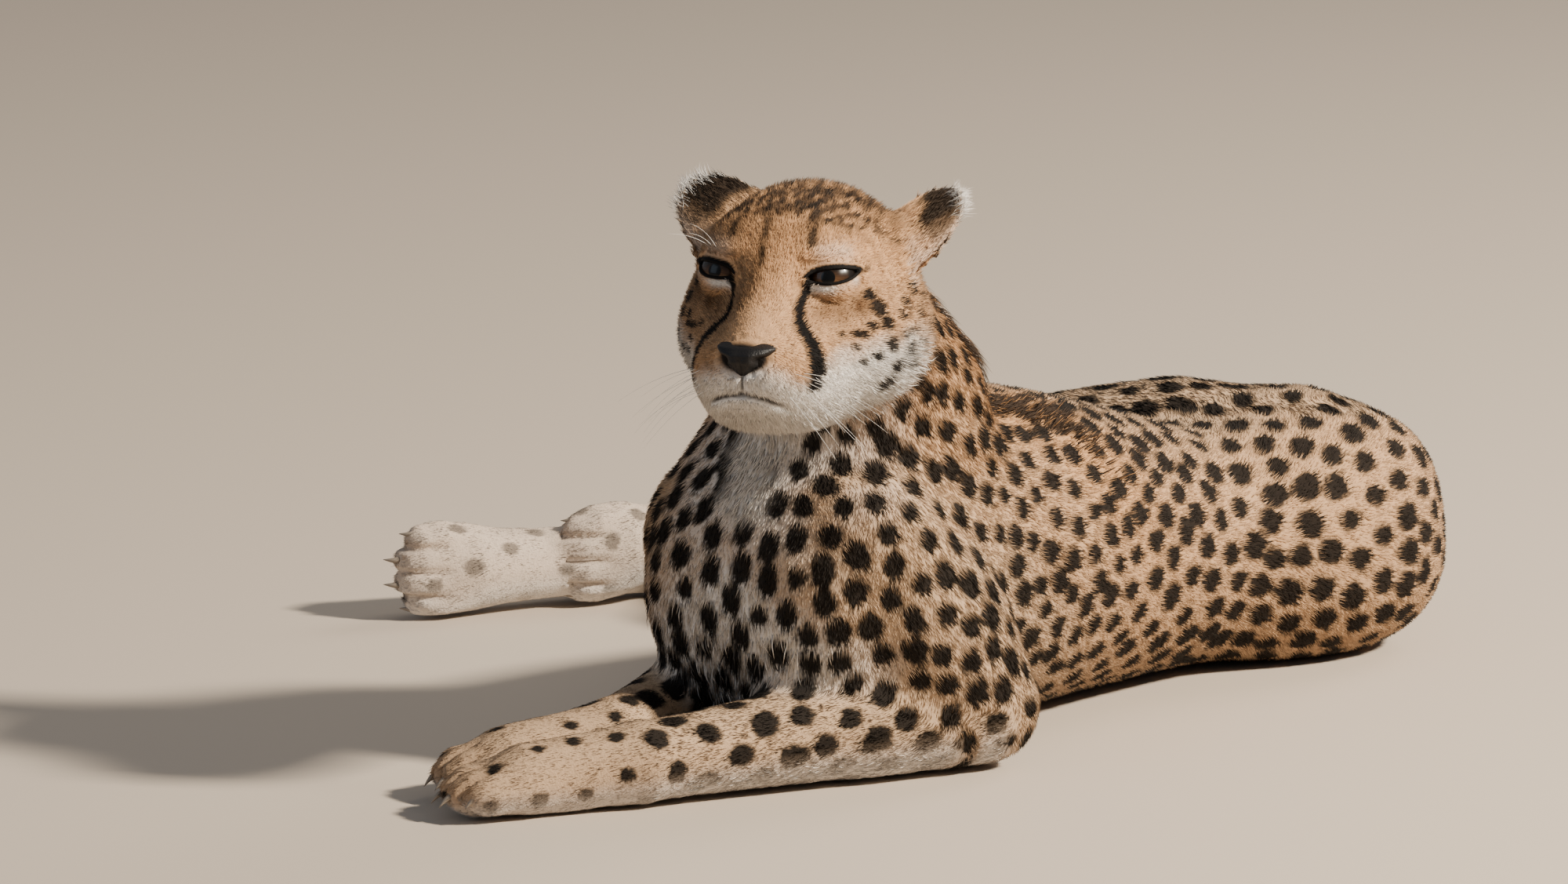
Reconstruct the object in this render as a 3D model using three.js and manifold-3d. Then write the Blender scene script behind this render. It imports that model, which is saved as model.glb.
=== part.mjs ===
// A cheetah lying on its breast, head up and turned a little to its left, with the hindquarters rolled
// onto the left hip and both hind legs out to its right. A still, life-size model whose outline is that
// of the coat. Millimetres, +Z up. The chest faces -Y, the animal's left side is +X, and the origin is on
// the floor under the breast.
import * as THREE from 'three';
import Module from 'manifold-3d';

const wasm = await Module();
wasm.setup();
const { lerp, clamp, smoothstep, degToRad } = THREE.MathUtils;
const at = (x, y, z) => new THREE.Vector3(x, y, z);

// Driving dimensions: lengths between joints, coat included.
const gap = 0.35;
const eyeRadius = 15;
const earHeight = 54;
const earWidth = 78;
const earThickness = 7;

// ---- Outlines -----------------------------------------------------------------------------------
// An outline is a function that gives the distance from a point to the surface, negative inside.

// A round bar whose radius runs from ra at a to rb at b.
function bar(a, b, ra, rb) {
  const along = b.clone().sub(a);
  return (p) => {
    const t = clamp(p.clone().sub(a).dot(along) / along.lengthSq(), 0, 1);
    return p.distanceTo(a.clone().addScaledVector(along, t)) - lerp(ra, rb, t);
  };
}

// A turn by angles in degrees about X, Y and Z.
function turned(x, y, z) {
  const angles = new THREE.Euler(...[x, y, z].map(degToRad), 'ZYX');
  return new THREE.Quaternion().setFromEuler(angles);
}

// A muscle or bone mass as an egg with three half sizes, turned as given.
function egg(centre, half, turn = turned(0, 0, 0)) {
  const back = turn.clone().invert();
  return (p) => {
    const scaled = p.clone().sub(centre).applyQuaternion(back).divide(half);
    const k = scaled.length();
    return (k * (k - 1)) / Math.max(scaled.divide(half).length(), 1e-6);
  };
}

// The same egg on the left and the right of the middle plane.
const eggPair = (centre, half) => [egg(centre, half), egg(centre.clone().setX(-centre.x), half)];

// Several outlines run into one another over a width.
function blend(width, outlines) {
  return (p) => outlines.reduce((d, outline) => {
    const other = outline(p);
    const share = Math.max(width - Math.abs(d - other), 0) / width;
    return Math.min(d, other) - (share * share * width) / 4;
  }, 1e6);
}

// ---- Solids -------------------------------------------------------------------------------------

function toSolid(points, triangles) {
  return new wasm.Manifold(new wasm.Mesh({
    numProp: 3,
    vertProperties: new Float32Array(points.flatMap((p) => [p.x, p.y, p.z])),
    triVerts: new Uint32Array(triangles),
  }));
}

// Goes out from a point until the outline's surface, moved out by grow, is met.
function reach(outline, from, direction, grow) {
  const distance = (t) => outline(from.clone().addScaledVector(direction, t)) - grow;
  let near = 0;
  let far = 3;
  while (distance(far) < 0) {
    near = far;
    far += 3;
  }
  for (let i = 0; i < 14; i += 1) {
    const middle = (near + far) / 2;
    if (distance(middle) < 0) near = middle;
    else far = middle;
  }
  return from.clone().addScaledVector(direction, near);
}

// How far the rays of a short, blunt shape lean along its line, from -1 at one end to 1 at the other.
function fanLean(u) {
  const offset = 2 * lerp(0.03, 0.97, u) - 1;
  return Math.sign(offset) * Math.abs(offset) ** 1.4;
}

// A closed solid wrapped round a line of centres: rings of rays go out from the line to the outline, and
// each end is closed by rays that lean over until they run along the line. With no leans at the ends, all
// the rays fan out.
function wrap({ outline, centres, up = at(0, 0, 1), sides, rings, leans = 2, place = (p) => p }, grow = 0) {
  const line = new THREE.CatmullRomCurve3(centres, false, 'centripetal');
  const rows = [];
  for (let lean = leans; lean > 0; lean -= 1) rows.push([0, -lean / (leans + 1)]);
  for (let ring = 0; ring <= rings; ring += 1) rows.push([ring / rings, 0]);
  for (let lean = 1; lean <= leans; lean += 1) rows.push([1, lean / (leans + 1)]);
  if (leans === 0) rows.forEach((row) => { row[1] = fanLean(row[0]); });
  const settle = (p) => {
    const placed = place(p);
    if (grow === 0) placed.z = Math.max(placed.z, 0);
    return placed;
  };
  const points = [];
  for (const [u, lean] of rows) {
    const from = line.getPointAt(u);
    const tangent = line.getTangentAt(u);
    const side = up.clone().cross(tangent).normalize();
    const top = tangent.clone().cross(side);
    const tilt = (lean * Math.PI) / 2;
    for (let j = 0; j < sides; j += 1) {
      const angle = (2 * Math.PI * j) / sides;
      const out = side.clone().multiplyScalar(Math.cos(angle)).addScaledVector(top, Math.sin(angle));
      const direction = out.multiplyScalar(Math.cos(tilt)).addScaledVector(tangent, Math.sin(tilt));
      points.push(settle(reach(outline, from, direction, grow)));
    }
  }
  const triangles = [];
  const index = (row, j) => row * sides + (j % sides);
  for (let row = 0; row + 1 < rows.length; row += 1) {
    for (let j = 0; j < sides; j += 1) {
      triangles.push(index(row, j), index(row, j + 1), index(row + 1, j));
      triangles.push(index(row, j + 1), index(row + 1, j + 1), index(row + 1, j));
    }
  }
  for (const [u, sign, row] of [[0, -1, 0], [1, 1, rows.length - 1]]) {
    const pole = points.length;
    points.push(settle(reach(outline, line.getPointAt(u), line.getTangentAt(u).multiplyScalar(sign), grow)));
    for (let j = 0; j < sides; j += 1) {
      const edge = [index(row, j), index(row, j + 1)];
      triangles.push(pole, ...(sign > 0 ? edge : edge.reverse()));
    }
  }
  return toSolid(points, triangles);
}

const biggest = (solid) => solid.decompose().reduce((a, b) => (a.volume() > b.volume() ? a : b));

// The next shape is cut by the earlier ones that it meets, each grown by the gap, so that no two touch.
const earlier = [];
function fit(solid, grown) {
  const met = earlier.filter((other) => !solid.intersect(other).isEmpty());
  if (grown) earlier.push(grown);
  return biggest(met.reduce((rest, other) => rest.subtract(other), solid));
}
const fitShape = (shape) => fit(wrap(shape), wrap(shape, gap));

function fromGeometry(geometry) {
  const flat = geometry.toNonIndexed().attributes.position;
  const points = [];
  for (let i = 0; i < flat.count; i += 1) points.push(new THREE.Vector3().fromBufferAttribute(flat, i));
  const seen = new Map();
  const unique = [];
  const triangles = points.map((p) => {
    const key = [p.x, p.y, p.z].map((value) => value.toFixed(4)).join();
    if (!seen.has(key)) seen.set(key, unique.push(p) - 1);
    return seen.get(key);
  });
  const kept = [];
  for (let i = 0; i < triangles.length; i += 3) {
    const [a, b, c] = triangles.slice(i, i + 3);
    if (a !== b && b !== c && a !== c) kept.push(a, b, c);
  }
  return toSolid(unique, kept);
}

// Parts a solid in two with a thin cut through a point, square to a direction.
function part(solid, point, direction) {
  const size = 900;
  const slab = new THREE.BoxGeometry(size, size, gap);
  slab.applyQuaternion(new THREE.Quaternion().setFromUnitVectors(at(0, 0, 1), direction.clone().normalize()));
  slab.translate(point.x, point.y, point.z);
  const side = (piece) => {
    const box = piece.boundingBox();
    const middle = at(...box.min).add(at(...box.max)).multiplyScalar(0.5);
    return middle.sub(point).dot(direction);
  };
  const parted = solid.subtract(fromGeometry(slab)).decompose();
  const pieces = parted.sort((a, b) => b.volume() - a.volume()).slice(0, 2);
  return pieces.sort((a, b) => side(a) - side(b));
}

const cheetah = new THREE.Group();

function add(name, solid, colour, roughness = 0.9) {
  const { vertProperties, triVerts } = solid.getMesh();
  const geometry = new THREE.BufferGeometry();
  geometry.setAttribute('position', new THREE.BufferAttribute(vertProperties, 3));
  geometry.setIndex(new THREE.BufferAttribute(triVerts, 1));
  geometry.computeVertexNormals();
  const finish = new THREE.MeshStandardMaterial({ color: colour, roughness, metalness: 0 });
  const mesh = new THREE.Mesh(geometry, finish);
  mesh.name = name;
  cheetah.add(mesh);
}

const buff = 0xc9a06a;
const pale = 0xe6dccb;
const black = 0x1b1715;
const amber = 0x8a5a22;

// ---- Trunk --------------------------------------------------------------------------------------
// Shaped straight, with X to the left, Y back from the front of the chest and Z up from the middle of the
// barrel, then laid along the spine's curve and rolled onto the left hip towards the rear.

const breastRest = at(-8, 195, 0);
const spine = new THREE.CatmullRomCurve3([
  at(0, -55, 142), at(0, 65, 122), at(0, 185, 109), at(4, 312, 93),
  at(22, 407, 81), at(50, 494, 79), at(72, 592, 77),
], false, 'centripetal');
const trunkLength = spine.getLength();
const hipRoll = degToRad(78);
const rollStart = 170;
const rollEnd = 520;

function layTrunk(p) {
  const u = clamp(p.y / trunkLength, 0, 1);
  const tangent = spine.getTangentAt(u);
  const roll = hipRoll * smoothstep(p.y, rollStart, rollEnd);
  const left = at(0, 1, 0).cross(at(0, 0, 1)).applyAxisAngle(at(0, 1, 0), roll);
  left.addScaledVector(tangent, -left.dot(tangent)).normalize();
  const top = left.clone().cross(tangent);
  return spine.getPointAt(u).addScaledVector(tangent, p.y - u * trunkLength)
    .addScaledVector(left, p.x).addScaledVector(top, p.z);
}

const trunk = {
  outline: blend(45, [
    egg(at(0, 80, -12), at(78, 95, 112)),
    egg(at(0, 200, 0), at(104, 190, 116)),
    egg(at(0, 320, 2), at(97, 150, 98)),
    egg(at(0, 430, 2), at(82, 150, 84)),
    egg(at(0, 565, 4), at(80, 110, 88)),
    ...eggPair(at(36, 580, -6), at(46, 88, 86)),
    ...eggPair(at(58, 95, 40), at(36, 70, 96)),
    ...eggPair(at(54, 40, -20), at(34, 45, 60)),
    egg(at(0, 110, 88), at(26, 80, 34)),
  ]),
  centres: [at(0, 60, 0), at(0, 350, 0), at(0, 625, 0)],
  sides: 18,
  rings: 18,
  leans: 4,
  place: layTrunk,
};

// ---- Head ---------------------------------------------------------------------------------------
// Shaped facing -Y round the middle of the skull, then turned and lifted.

const headPlace = at(34, -40, 301);
const headTurn = turned(-5, 0, 16);
const onHead = (p) => p.clone().applyQuaternion(headTurn).add(headPlace);
const ahead = (side, forward, up) => at(side, -forward, up);

const head = {
  outline: blend(22, [
    egg(ahead(0, -15, 20), at(68, 80, 67)),
    egg(ahead(0, 22, 40), at(42, 38, 34)),
    ...eggPair(ahead(34, 33, 46), at(20, 19, 11)),
    ...eggPair(ahead(46, 4, -10), at(32, 48, 37)),
    ...eggPair(ahead(48, -24, -12), at(28, 42, 37)),
    ...eggPair(ahead(28, 58, -24), at(20, 32, 24)),
    egg(ahead(0, 62, 6), at(20, 48, 24), turned(30, 0, 0)),
    egg(ahead(0, 76, -26), at(31, 33, 25)),
    ...eggPair(ahead(17, 88, -35), at(18, 18, 16)),
    egg(ahead(0, 72, -50), at(20, 33, 14)),
    ...eggPair(ahead(22, 28, -44), at(24, 50, 23)),
  ]),
  centres: [ahead(0, -40, 5), ahead(0, 20, 0), ahead(0, 60, -18), ahead(0, 86, -28)],
  sides: 26,
  rings: 21,
  leans: 0,
  place: onHead,
};

const noseLeather = {
  outline: egg(ahead(0, 105, -18), at(20, 14, 13)),
  centres: [ahead(0, 103, -17), ahead(0, 107, -17)],
  sides: 12,
  rings: 1,
  leans: 2,
  place: onHead,
};

const eyePlaces = { left: ahead(35, 46, 29), right: ahead(-35, 46, 29) };

function eyeball(place, grow = 0) {
  const ball = new THREE.SphereGeometry(eyeRadius + grow, 12, 8);
  ball.rotateX(Math.PI / 2);
  const centre = onHead(place);
  ball.translate(centre.x, centre.y, centre.z);
  return fromGeometry(ball);
}

// A cupped ear as a stack of crescents that narrows to a round tip, standing on the side of the skull.
function ear(side) {
  const root = ahead(side * 53, -40, 42);
  const rise = at(side * 0.68, 0.1, 0.66).normalize();
  const across = rise.clone().cross(at(side * 0.55, 0.65, -0.5)).normalize();
  const facing = across.clone().cross(rise);
  const levels = 8;
  const steps = 5;
  const rows = [];
  for (let level = 0; level < levels; level += 1) {
    const t = level / levels;
    const middle = root.clone().addScaledVector(rise, earHeight * t);
    const halfWidth = (earWidth / 2) * Math.sqrt(1 - t ** 2.2);
    const cup = 20 * (1 - t * 0.8);
    const spot = (a, front) => {
      const depth = front * earThickness * Math.sqrt(1 - a * a) - cup * (1 - a * a);
      return middle.clone().addScaledVector(across, a * halfWidth).addScaledVector(facing, depth);
    };
    const row = [];
    for (let k = 0; k < 2 * steps; k += 1) {
      const around = (Math.PI * k) / steps;
      row.push(spot(-Math.cos(around), Math.sin(around) > 0.01 ? 1 : 0));
    }
    rows.push(row);
  }
  const count = 2 * steps;
  const points = rows.flat();
  const root0 = points.push(root.clone().addScaledVector(facing, -8)) - 1;
  const tip = points.push(root.clone().addScaledVector(rise, earHeight).addScaledVector(facing, -3)) - 1;
  const triangles = [];
  for (let row = 0; row < levels; row += 1) {
    for (let k = 0; k < count; k += 1) {
      const a = row * count + k;
      const b = row * count + ((k + 1) % count);
      if (row === 0) triangles.push(root0, b, a);
      if (row + 1 < levels) triangles.push(a, b, a + count, b, b + count, a + count);
      else triangles.push(tip, a, b);
    }
  }
  const solid = toSolid(points.map(onHead), triangles);
  return solid.volume() > 0 ? solid : toSolid(points.map(onHead), triangles.reverse());
}

// ---- Neck ---------------------------------------------------------------------------------------

const neckBase = at(0, 95, 150);
const neckMiddle = at(8, 60, 222);
const neckTop = onHead(ahead(0, -45, -10));
const neck = {
  outline: blend(30, [bar(neckBase, neckMiddle, 96, 80), bar(neckMiddle, neckTop, 80, 66)]),
  centres: [neckBase, neckMiddle, neckTop],
  up: at(0, 1, 0),
  sides: 14,
  rings: 4,
};

// ---- Legs ---------------------------------------------------------------------------------------

// Toes as four eggs side by side at the end of a paw, the middle two further forward.
function toes(heel, tip, across, spread, half) {
  const forward = tip.clone().sub(heel).normalize();
  const turn = new THREE.Quaternion().setFromUnitVectors(at(0, 1, 0), forward);
  return [-1.5, -0.5, 0.5, 1.5].map((place) => {
    const back = half.y + (Math.abs(place) > 1 ? 12 : 0);
    const middle = tip.clone().addScaledVector(forward, -back).addScaledVector(across, place * spread);
    return egg(middle, half, turn);
  });
}

function foreleg({ shoulder, elbow, wrist, tip }) {
  const knuckles = wrist.clone().lerp(tip, 0.6);
  const forward = tip.clone().sub(wrist).normalize();
  const across = forward.clone().cross(at(0, 0, 1)).normalize();
  const belly = elbow.clone().lerp(wrist, 0.3);
  return {
    upperArm: {
      outline: blend(30, [
        bar(shoulder, elbow, 66, 43),
        egg(shoulder.clone().lerp(elbow, 0.55), at(46, 62, 62)),
      ]),
      centres: [shoulder, shoulder.clone().lerp(elbow, 0.5), elbow],
      up: at(0, 1, 0),
      sides: 12,
      rings: 5,
    },
    lower: {
      outline: blend(12, [
        bar(elbow, belly, 43, 37), bar(belly, wrist, 37, 27), bar(wrist, knuckles, 27, 27),
        ...toes(wrist, tip, across, 15, at(10, 24, 15)),
      ]),
      centres: [elbow, belly, wrist, knuckles, wrist.clone().lerp(tip, 0.8)],
      sides: 12,
      rings: 13,
    },
  };
}

function hindLeg({ hip, knee, hock, tip, across }) {
  const calf = knee.clone().lerp(hock, 0.35);
  const heel = hock.clone().lerp(tip, 0.6);
  return {
    thigh: {
      outline: blend(30, [bar(hip, knee, 80, 52), egg(hip.clone().lerp(knee, 0.4), at(70, 60, 74))]),
      centres: [hip, hip.clone().lerp(knee, 0.5), knee],
      sides: 14,
      rings: 5,
    },
    shank: {
      outline: blend(20, [bar(knee, calf, 50, 42), bar(calf, hock, 42, 25)]),
      centres: [knee, knee.clone().lerp(hock, 0.5), hock],
      sides: 10,
      rings: 5,
    },
    foot: {
      outline: blend(12, [bar(hock, heel, 28, 25), bar(heel, hock.clone().lerp(tip, 0.75), 25, 29),
        ...toes(hock, tip, across, 17, at(18, 26, 11))]),
      centres: [hock, heel, hock.clone().lerp(tip, 0.85)],
      sides: 12,
      rings: 8,
    },
  };
}

const leftFore = foreleg({
  shoulder: at(48, 4, 148), elbow: at(100, 64, 41), wrist: at(-4, -152, 28), tip: at(-84, -270, 15),
});
const rightFore = foreleg({
  shoulder: at(-50, 10, 140), elbow: at(-92, 110, 41), wrist: at(-60, -118, 28), tip: at(-118, -230, 15),
});
const leftHind = hindLeg({
  hip: at(50, 500, 78), knee: at(-140, 380, 51), hock: at(-388, 435, 26), tip: at(-490, 226, 34),
  across: at(0, 0, 1),
});
const rightHind = hindLeg({
  hip: at(55, 510, 100), knee: at(-130, 385, 118), hock: at(-335, 515, 50), tip: at(-425, 322, 34),
  across: at(0, 0, 1),
});

// ---- Tail ---------------------------------------------------------------------------------------

const tailLine = [
  at(62, 570, 72), at(44, 635, 54), at(-10, 672, 34), at(-90, 690, 27), at(-190, 680, 27), at(-290, 650, 27),
  at(-385, 625, 29), at(-470, 615, 30),
];
const tailRadius = (t) => lerp(30, 27, t) + 6 * smoothstep(t, 0.75, 0.95);

const tail = {
  outline: blend(10, tailLine.slice(1).map((b, i) => {
    const steps = tailLine.length - 1;
    return bar(tailLine[i], b, tailRadius(i / steps), tailRadius((i + 1) / steps));
  })),
  centres: tailLine,
  sides: 8,
  rings: 18,
};

// ---- Assembly -----------------------------------------------------------------------------------

add('nose', fitShape(noseLeather), black, 0.4);
for (const [side, place] of Object.entries(eyePlaces)) {
  add(`eye_${side}`, fit(eyeball(place), eyeball(place, gap)), amber, 0.1);
}
add('head', fitShape(head), buff);
add('ear_left', fit(ear(1)), buff);
add('ear_right', fit(ear(-1)), buff);

const [chest, hindTrunk] = part(fitShape(trunk), layTrunk(at(0, 300, 0)), at(0, 1, 0));
const [belly, rump] = part(hindTrunk, layTrunk(at(0, 490, 0)), at(0.2, 1, 0));
add('chest', chest, buff);
add('belly', belly, buff);
add('rump', rump, buff);
add('neck', fitShape(neck), buff);

for (const [side, leg] of Object.entries({ left: leftFore, right: rightFore })) {
  add(`upper_arm_${side}`, fitShape(leg.upperArm), buff);
  const wrist = leg.lower.centres[2];
  const [paw, forearm] = part(fitShape(leg.lower), wrist, leg.lower.centres[1].clone().sub(wrist));
  add(`forearm_${side}`, forearm, buff);
  add(`forepaw_${side}`, paw, pale);
}
for (const [side, leg] of Object.entries({ left: leftHind, right: rightHind })) {
  add(`thigh_${side}`, fitShape(leg.thigh), buff);
  add(`shank_${side}`, fitShape(leg.shank), buff);
  add(`hind_foot_${side}`, fitShape(leg.foot), pale);
}
const [tailRoot, tailRest] = part(fitShape(tail), tailLine[3], tailLine[4].clone().sub(tailLine[2]));
const [tailMiddle, tailTip] = part(tailRest, tailLine[5], tailLine[6].clone().sub(tailLine[4]));
add('tail_root', tailRoot, buff);
add('tail_middle', tailMiddle, buff);
add('tail_tip', tailTip, pale);

cheetah.position.copy(breastRest).negate();

export default cheetah;
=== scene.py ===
"""A cheetah lying on its breast with its head up and its hindquarters rolled onto the left hip, life size.

One skin lies over the flesh, and the coat stands on it as some 340,000 small solid tufts
that follow the lie of the hair. Metres, +Z up, the chest faces -Y and the animal's left side is +X.
"""

import math
import bmesh
import bpy
import numpy as np
from mathutils import Matrix, Vector
from mathutils.bvhtree import BVHTree
from mathutils.kdtree import KDTree


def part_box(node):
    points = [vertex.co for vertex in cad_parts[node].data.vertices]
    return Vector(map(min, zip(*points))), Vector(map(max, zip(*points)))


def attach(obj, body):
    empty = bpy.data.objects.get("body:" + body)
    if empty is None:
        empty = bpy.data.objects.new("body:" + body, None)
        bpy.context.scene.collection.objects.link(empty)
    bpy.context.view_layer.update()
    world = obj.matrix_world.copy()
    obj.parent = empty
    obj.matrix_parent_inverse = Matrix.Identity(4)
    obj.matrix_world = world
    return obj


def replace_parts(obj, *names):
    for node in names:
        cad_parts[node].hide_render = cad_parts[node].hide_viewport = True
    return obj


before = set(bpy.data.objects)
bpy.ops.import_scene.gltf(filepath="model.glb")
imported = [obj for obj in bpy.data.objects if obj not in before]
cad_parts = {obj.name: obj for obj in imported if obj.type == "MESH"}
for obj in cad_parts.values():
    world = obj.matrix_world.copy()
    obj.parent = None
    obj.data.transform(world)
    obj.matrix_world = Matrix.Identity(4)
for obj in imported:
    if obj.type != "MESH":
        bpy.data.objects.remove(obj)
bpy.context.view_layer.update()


# ---- Camera ------------------------------------------------------------------
# A long lens at the height of the animal's back, off its left shoulder, so that the whole of it fills the
# picture.

aim = Vector((0.003, -0.198, 0.21))
azimuth, elevation = math.radians(35), math.radians(10.5)
distance, width_seen, sensor_width = 9.0, 1.0, 36


def to_object(name, data):
    """A new object in the scene, standing at its origin."""
    made = bpy.data.objects.new(name, data)
    bpy.context.scene.collection.objects.link(made)
    return made


camera = to_object("camera", bpy.data.cameras.new("camera"))
bpy.context.scene.camera = camera
level = math.cos(elevation)
toward = Vector((math.sin(azimuth) * level, -math.cos(azimuth) * level, math.sin(elevation)))
camera.location = aim + toward * distance
camera.rotation_mode = "QUATERNION"
camera.rotation_quaternion = (-toward).to_track_quat("-Z", "Y")
camera.data.sensor_width = sensor_width
camera.data.lens = sensor_width * distance / width_seen
camera.data.clip_end = 100


# ---- Skin --------------------------------------------------------------------
# One skin over all the flesh: copies of the solids run together, rounded off and drawn in by the coat's
# depth, so that the tufts reach the solids' outline. It remembers which part each place belongs to.

nodes = sorted(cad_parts)
region_of = {n: i for i, n in enumerate(nodes)}


def unit(v):
    return v / np.maximum(np.linalg.norm(v, axis=-1, keepdims=True), 1e-9)


def middle(node):
    low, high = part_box(node)
    return np.array((low + high) / 2)


# The head's own axes: to its left, forward and up, from the middle of the skull.
eye_side = unit(middle("eye_left") - middle("eye_right"))
eye_middle = (middle("eye_left") + middle("eye_right")) / 2
to_nose = unit(middle("nose") - eye_middle)
nose_ahead, nose_below = 0.059, 0.046
down_angle = math.atan2(nose_below, nose_ahead)
turns = [Matrix.Rotation(angle, 3, Vector(eye_side)) for angle in (down_angle, -down_angle)]
forward = max((np.array(turn @ Vector(to_nose)) for turn in turns), key=lambda way: way[2])
upward = np.cross(eye_side, -forward)
upward *= math.copysign(1, upward[2])
head_axes = np.array([eye_side, forward, upward])
eyes_ahead, eyes_above = 0.046, 0.029
head_middle = eye_middle - forward * eyes_ahead - upward * eyes_above


def on_head(points):
    """Places on the head in millimetres: to its left, forward, up."""
    return (np.asarray(points) - head_middle) @ head_axes.T * 1000


def off_head(places):
    return np.asarray(places) / 1000 @ head_axes + head_middle


outset = 0.0015
joined = bmesh.new()
part_of_face = []
for name in nodes:
    one = bmesh.new()
    one.from_mesh(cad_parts[name].data)
    bmesh.ops.remove_doubles(one, verts=one.verts, dist=1e-5)
    one.normal_update()
    for v in one.verts:
        v.co += v.normal * outset
    copied = bpy.data.meshes.new("copy")
    one.to_mesh(copied)
    one.free()
    joined.from_mesh(copied)
    part_of_face += [region_of[name]] * len(copied.polygons)
    bpy.data.meshes.remove(copied)
solid_tree = BVHTree.FromBMesh(joined)
part_of_face = np.array(part_of_face)
rough = bpy.data.meshes.new("rough")
joined.to_mesh(rough)
joined.free()
holder = to_object("holder", rough)
remesh = holder.modifiers.new("remesh", "REMESH")
remesh.mode = "VOXEL"
remesh.voxel_size = 0.003
run_together = holder.evaluated_get(bpy.context.evaluated_depsgraph_get())
skin_mesh = bpy.data.meshes.new_from_object(run_together)
bpy.data.objects.remove(holder)


def read(items, field, width, kind=np.float32):
    """One field of all of a mesh's items, as rows of so many numbers."""
    flat = np.empty(len(items) * width, kind)
    items.foreach_get(field, flat)
    return flat.reshape(-1, width)


def skin_points():
    return read(skin_mesh.vertices, "co", 3).astype(float)


def skin_normals():
    return read(skin_mesh.vertex_normals, "vector", 3).astype(float)


def move_skin():
    """Moves the skin's vertices to where points has them."""
    skin_mesh.vertices.foreach_set("co", points.astype(np.float32).ravel())
    skin_mesh.update()


def smoothed(values, rounds):
    """Values at the skin's points, drawn towards their neighbours' mean, each as often as rounds says."""
    count = len(values)
    rounds = np.broadcast_to(rounds, (count,))
    a, b = edges.T
    degree = np.maximum(np.bincount(a, minlength=count) + np.bincount(b, minlength=count), 1)[:, None]
    values = values.copy()
    for k in range(int(rounds.max())):
        total = np.stack([np.bincount(a, values[b, c], count) + np.bincount(b, values[a, c], count)
                          for c in range(values.shape[1])], axis=1)
        values += (total / degree - values) * 0.5 * (rounds > k)[:, None]
    return values


def regions_at(points):
    return np.array([part_of_face[solid_tree.find_nearest(Vector(p))[2]] for p in points])


def by_region(table, default):
    """The values of each point's part, from a table by the starts of the parts' names."""
    values = [next((v for start, v in table.items() if name.startswith(start)), default) for name in nodes]
    return np.array(values, float)[regions].T


def ramp(x, low, high):
    """0 below low, 1 above high, and smooth between them."""
    t = np.clip((x - low) / (high - low), 0, 1)
    return t * t * (3 - 2 * t)


def fall(x, low, high):
    """1 below low, 0 above high, and smooth between them."""
    return 1 - ramp(x, low, high)


points = skin_points()
regions = regions_at(points)
edges = read(skin_mesh.edges, "vertices", 2, np.int32)
rounds = by_region({
    "head": 18, "ear": 5, "eye": 12, "nose": 12, "forepaw": 6, "hind_foot": 7, "tail": 30,
    "forearm": 20, "shank": 22, "upper_arm": 26, "thigh": 24, "neck": 40}, 42)
rounds = smoothed(rounds[:, None], 12)[:, 0]
points = smoothed(points, rounds)
move_skin()
depth = by_region({
    "head": 2.3, "ear": 0.6, "eye": 1.2, "nose": 1.2, "forepaw": 1.5, "hind_foot": 1.5,
    "forearm": 1.9, "shank": 2.0, "tail": 3.3, "upper_arm": 2.5, "thigh": 2.4, "neck": 3.2,
    "chest": 3.0, "belly": 2.8, "rump": 2.4}, 3) / 1000 + outset
depth = smoothed(depth[:, None], 10)[:, 0]
face_place = on_head(points)
depth -= 0.0012 * ramp(face_place[:, 1], 20, 60) * (regions == region_of["head"])
points = points - skin_normals() * depth[:, None]
lowest = 0.0008
points[:, 2] = np.maximum(points[:, 2], lowest)
move_skin()

# The tail's end is drawn in to a blunt point under its brush.
tail_line = np.array([
    (70, 375, 72), (52, 440, 54), (-2, 477, 34), (-82, 495, 27),
    (-182, 485, 27), (-282, 455, 27), (-377, 430, 29), (-462, 420, 30)]) / 1000
draw_in = 0.5 * fall(points[:, 0], -0.475, -0.40) * (regions == region_of["tail_tip"])
points[:, 1:] += (tail_line[-1, 1:] - points[:, 1:]) * draw_in[:, None]

# The limbs from joint to joint: shoulder or hip, elbow or knee, wrist or hock, and the end of the toes.
limbs = {
    "left": [(56, -191, 148), (108, -131, 41), (4, -347, 28), (-76, -465, 15)],
    "right": [(-42, -185, 140), (-84, -85, 41), (-52, -313, 28), (-110, -425, 15)],
    "hind_left": [(58, 305, 78), (-132, 185, 51), (-380, 240, 26), (-482, 31, 34)],
    "hind_right": [(63, 315, 100), (-122, 190, 118), (-327, 320, 50), (-417, 127, 34)],
}
limbs = {k: np.array(v) / 1000 for k, v in limbs.items()}

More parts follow.
